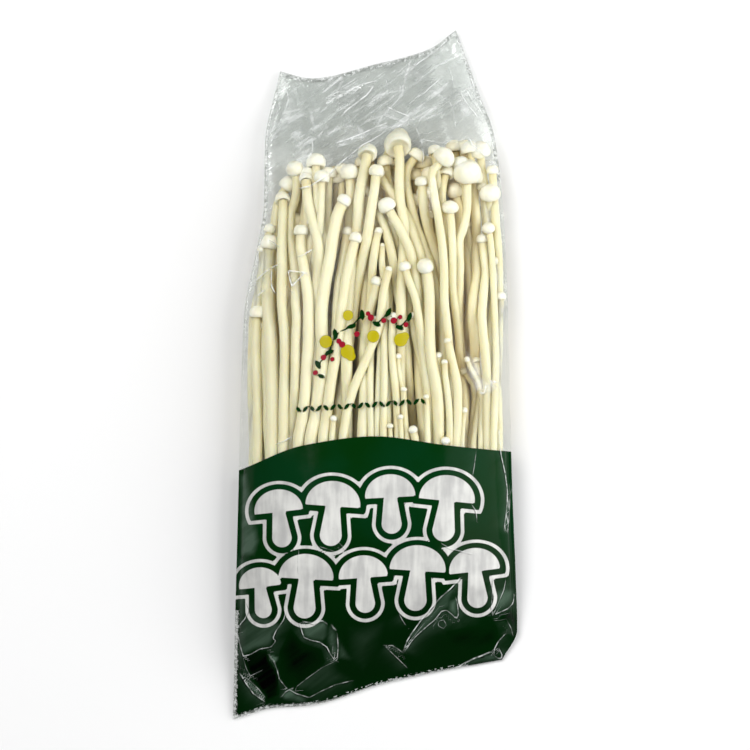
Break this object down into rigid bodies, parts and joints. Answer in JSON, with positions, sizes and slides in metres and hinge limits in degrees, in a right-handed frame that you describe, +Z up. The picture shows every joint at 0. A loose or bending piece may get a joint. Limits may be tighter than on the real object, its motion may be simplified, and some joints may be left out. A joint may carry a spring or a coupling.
{
  "type": "enoki mushroom bunch",
  "caption": "Fused bunch of long thin enoki mushrooms lying in a clear film bag with a printed green lower band.",
  "frame": {"origin": "middle of the bag's outline seen from above, on the surface that it lies on", "axes": "+Y runs along the stems to the caps and the empty top of the bag, +Z is up, away from the surface that the back of the bag lies on"},
  "size_m": [0.0984, 0.2386, 0.0278],
  "materials": {
    "mushroom": "moist cream stems with a satin sheen and whiter smooth caps",
    "front_film": "clear glossy packing film, wrinkled, with a dark green printed band over its lower part",
    "back_film": "clear glossy packing film with a plain dark green printed band over its lower part"
  },
  "bodies": {
    "root": {"enoki_bunch": "mushroom", "front_film": "front_film", "back_film": "back_film"}
  },
  "joints": []
}
